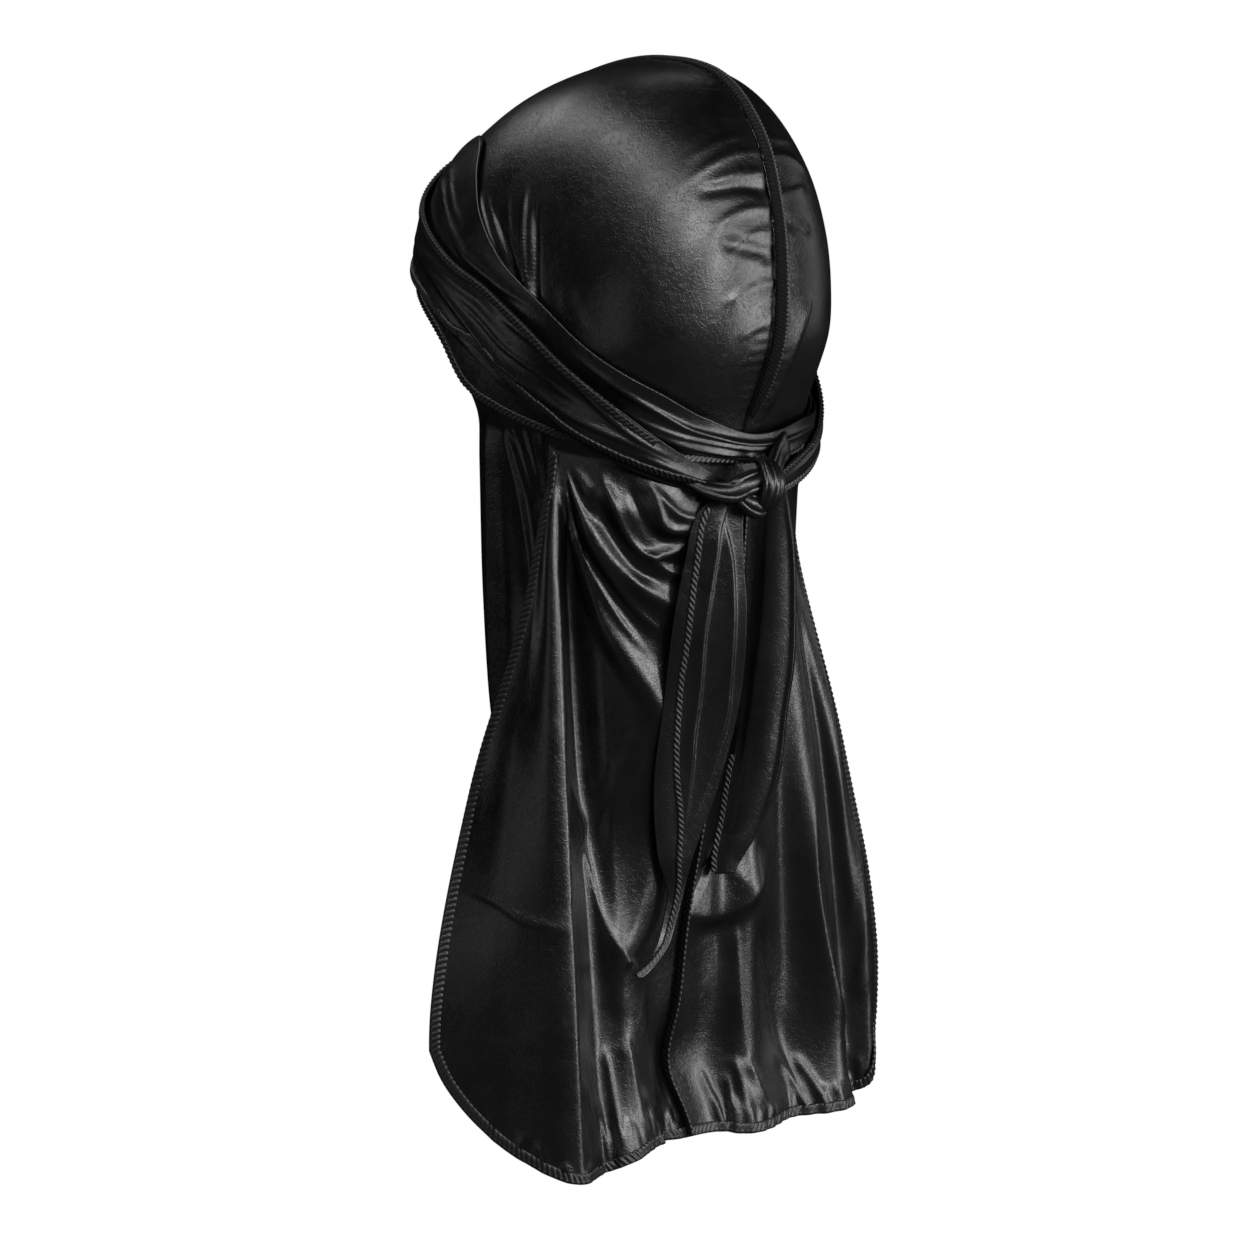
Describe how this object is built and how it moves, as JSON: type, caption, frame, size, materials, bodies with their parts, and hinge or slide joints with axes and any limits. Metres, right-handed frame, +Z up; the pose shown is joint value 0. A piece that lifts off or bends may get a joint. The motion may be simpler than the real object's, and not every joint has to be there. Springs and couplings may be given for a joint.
{
  "type": "satin head wrap with tie straps and long cape",
  "caption": "Satin head wrap as worn: domed crown with standing centre seam, straps wound round and knotted at the nape, and a long draped cape below.",
  "frame": {"origin": "under the top of the crown, where it sits on the head", "axes": "+Z up, -Y towards the face, +X towards the wearer's left"},
  "size_m": [0.2567, 0.193, 0.4794],
  "materials": {
    "satin": "smooth glossy satin",
    "seam_thread": "overlocked polyester thread"
  },
  "bodies": {
    "root": {"crown_left": "satin", "crown_right": "satin", "crown_seam": "seam_thread", "strap_left": "satin", "strap_right": "satin", "cape_left": "satin", "cape_right": "satin", "cape_seam": "seam_thread", "side_fall_left": "satin", "side_fall_right": "satin", "tie_end_left": "satin", "tie_end_right": "satin", "knot": "satin"}
  },
  "joints": []
}
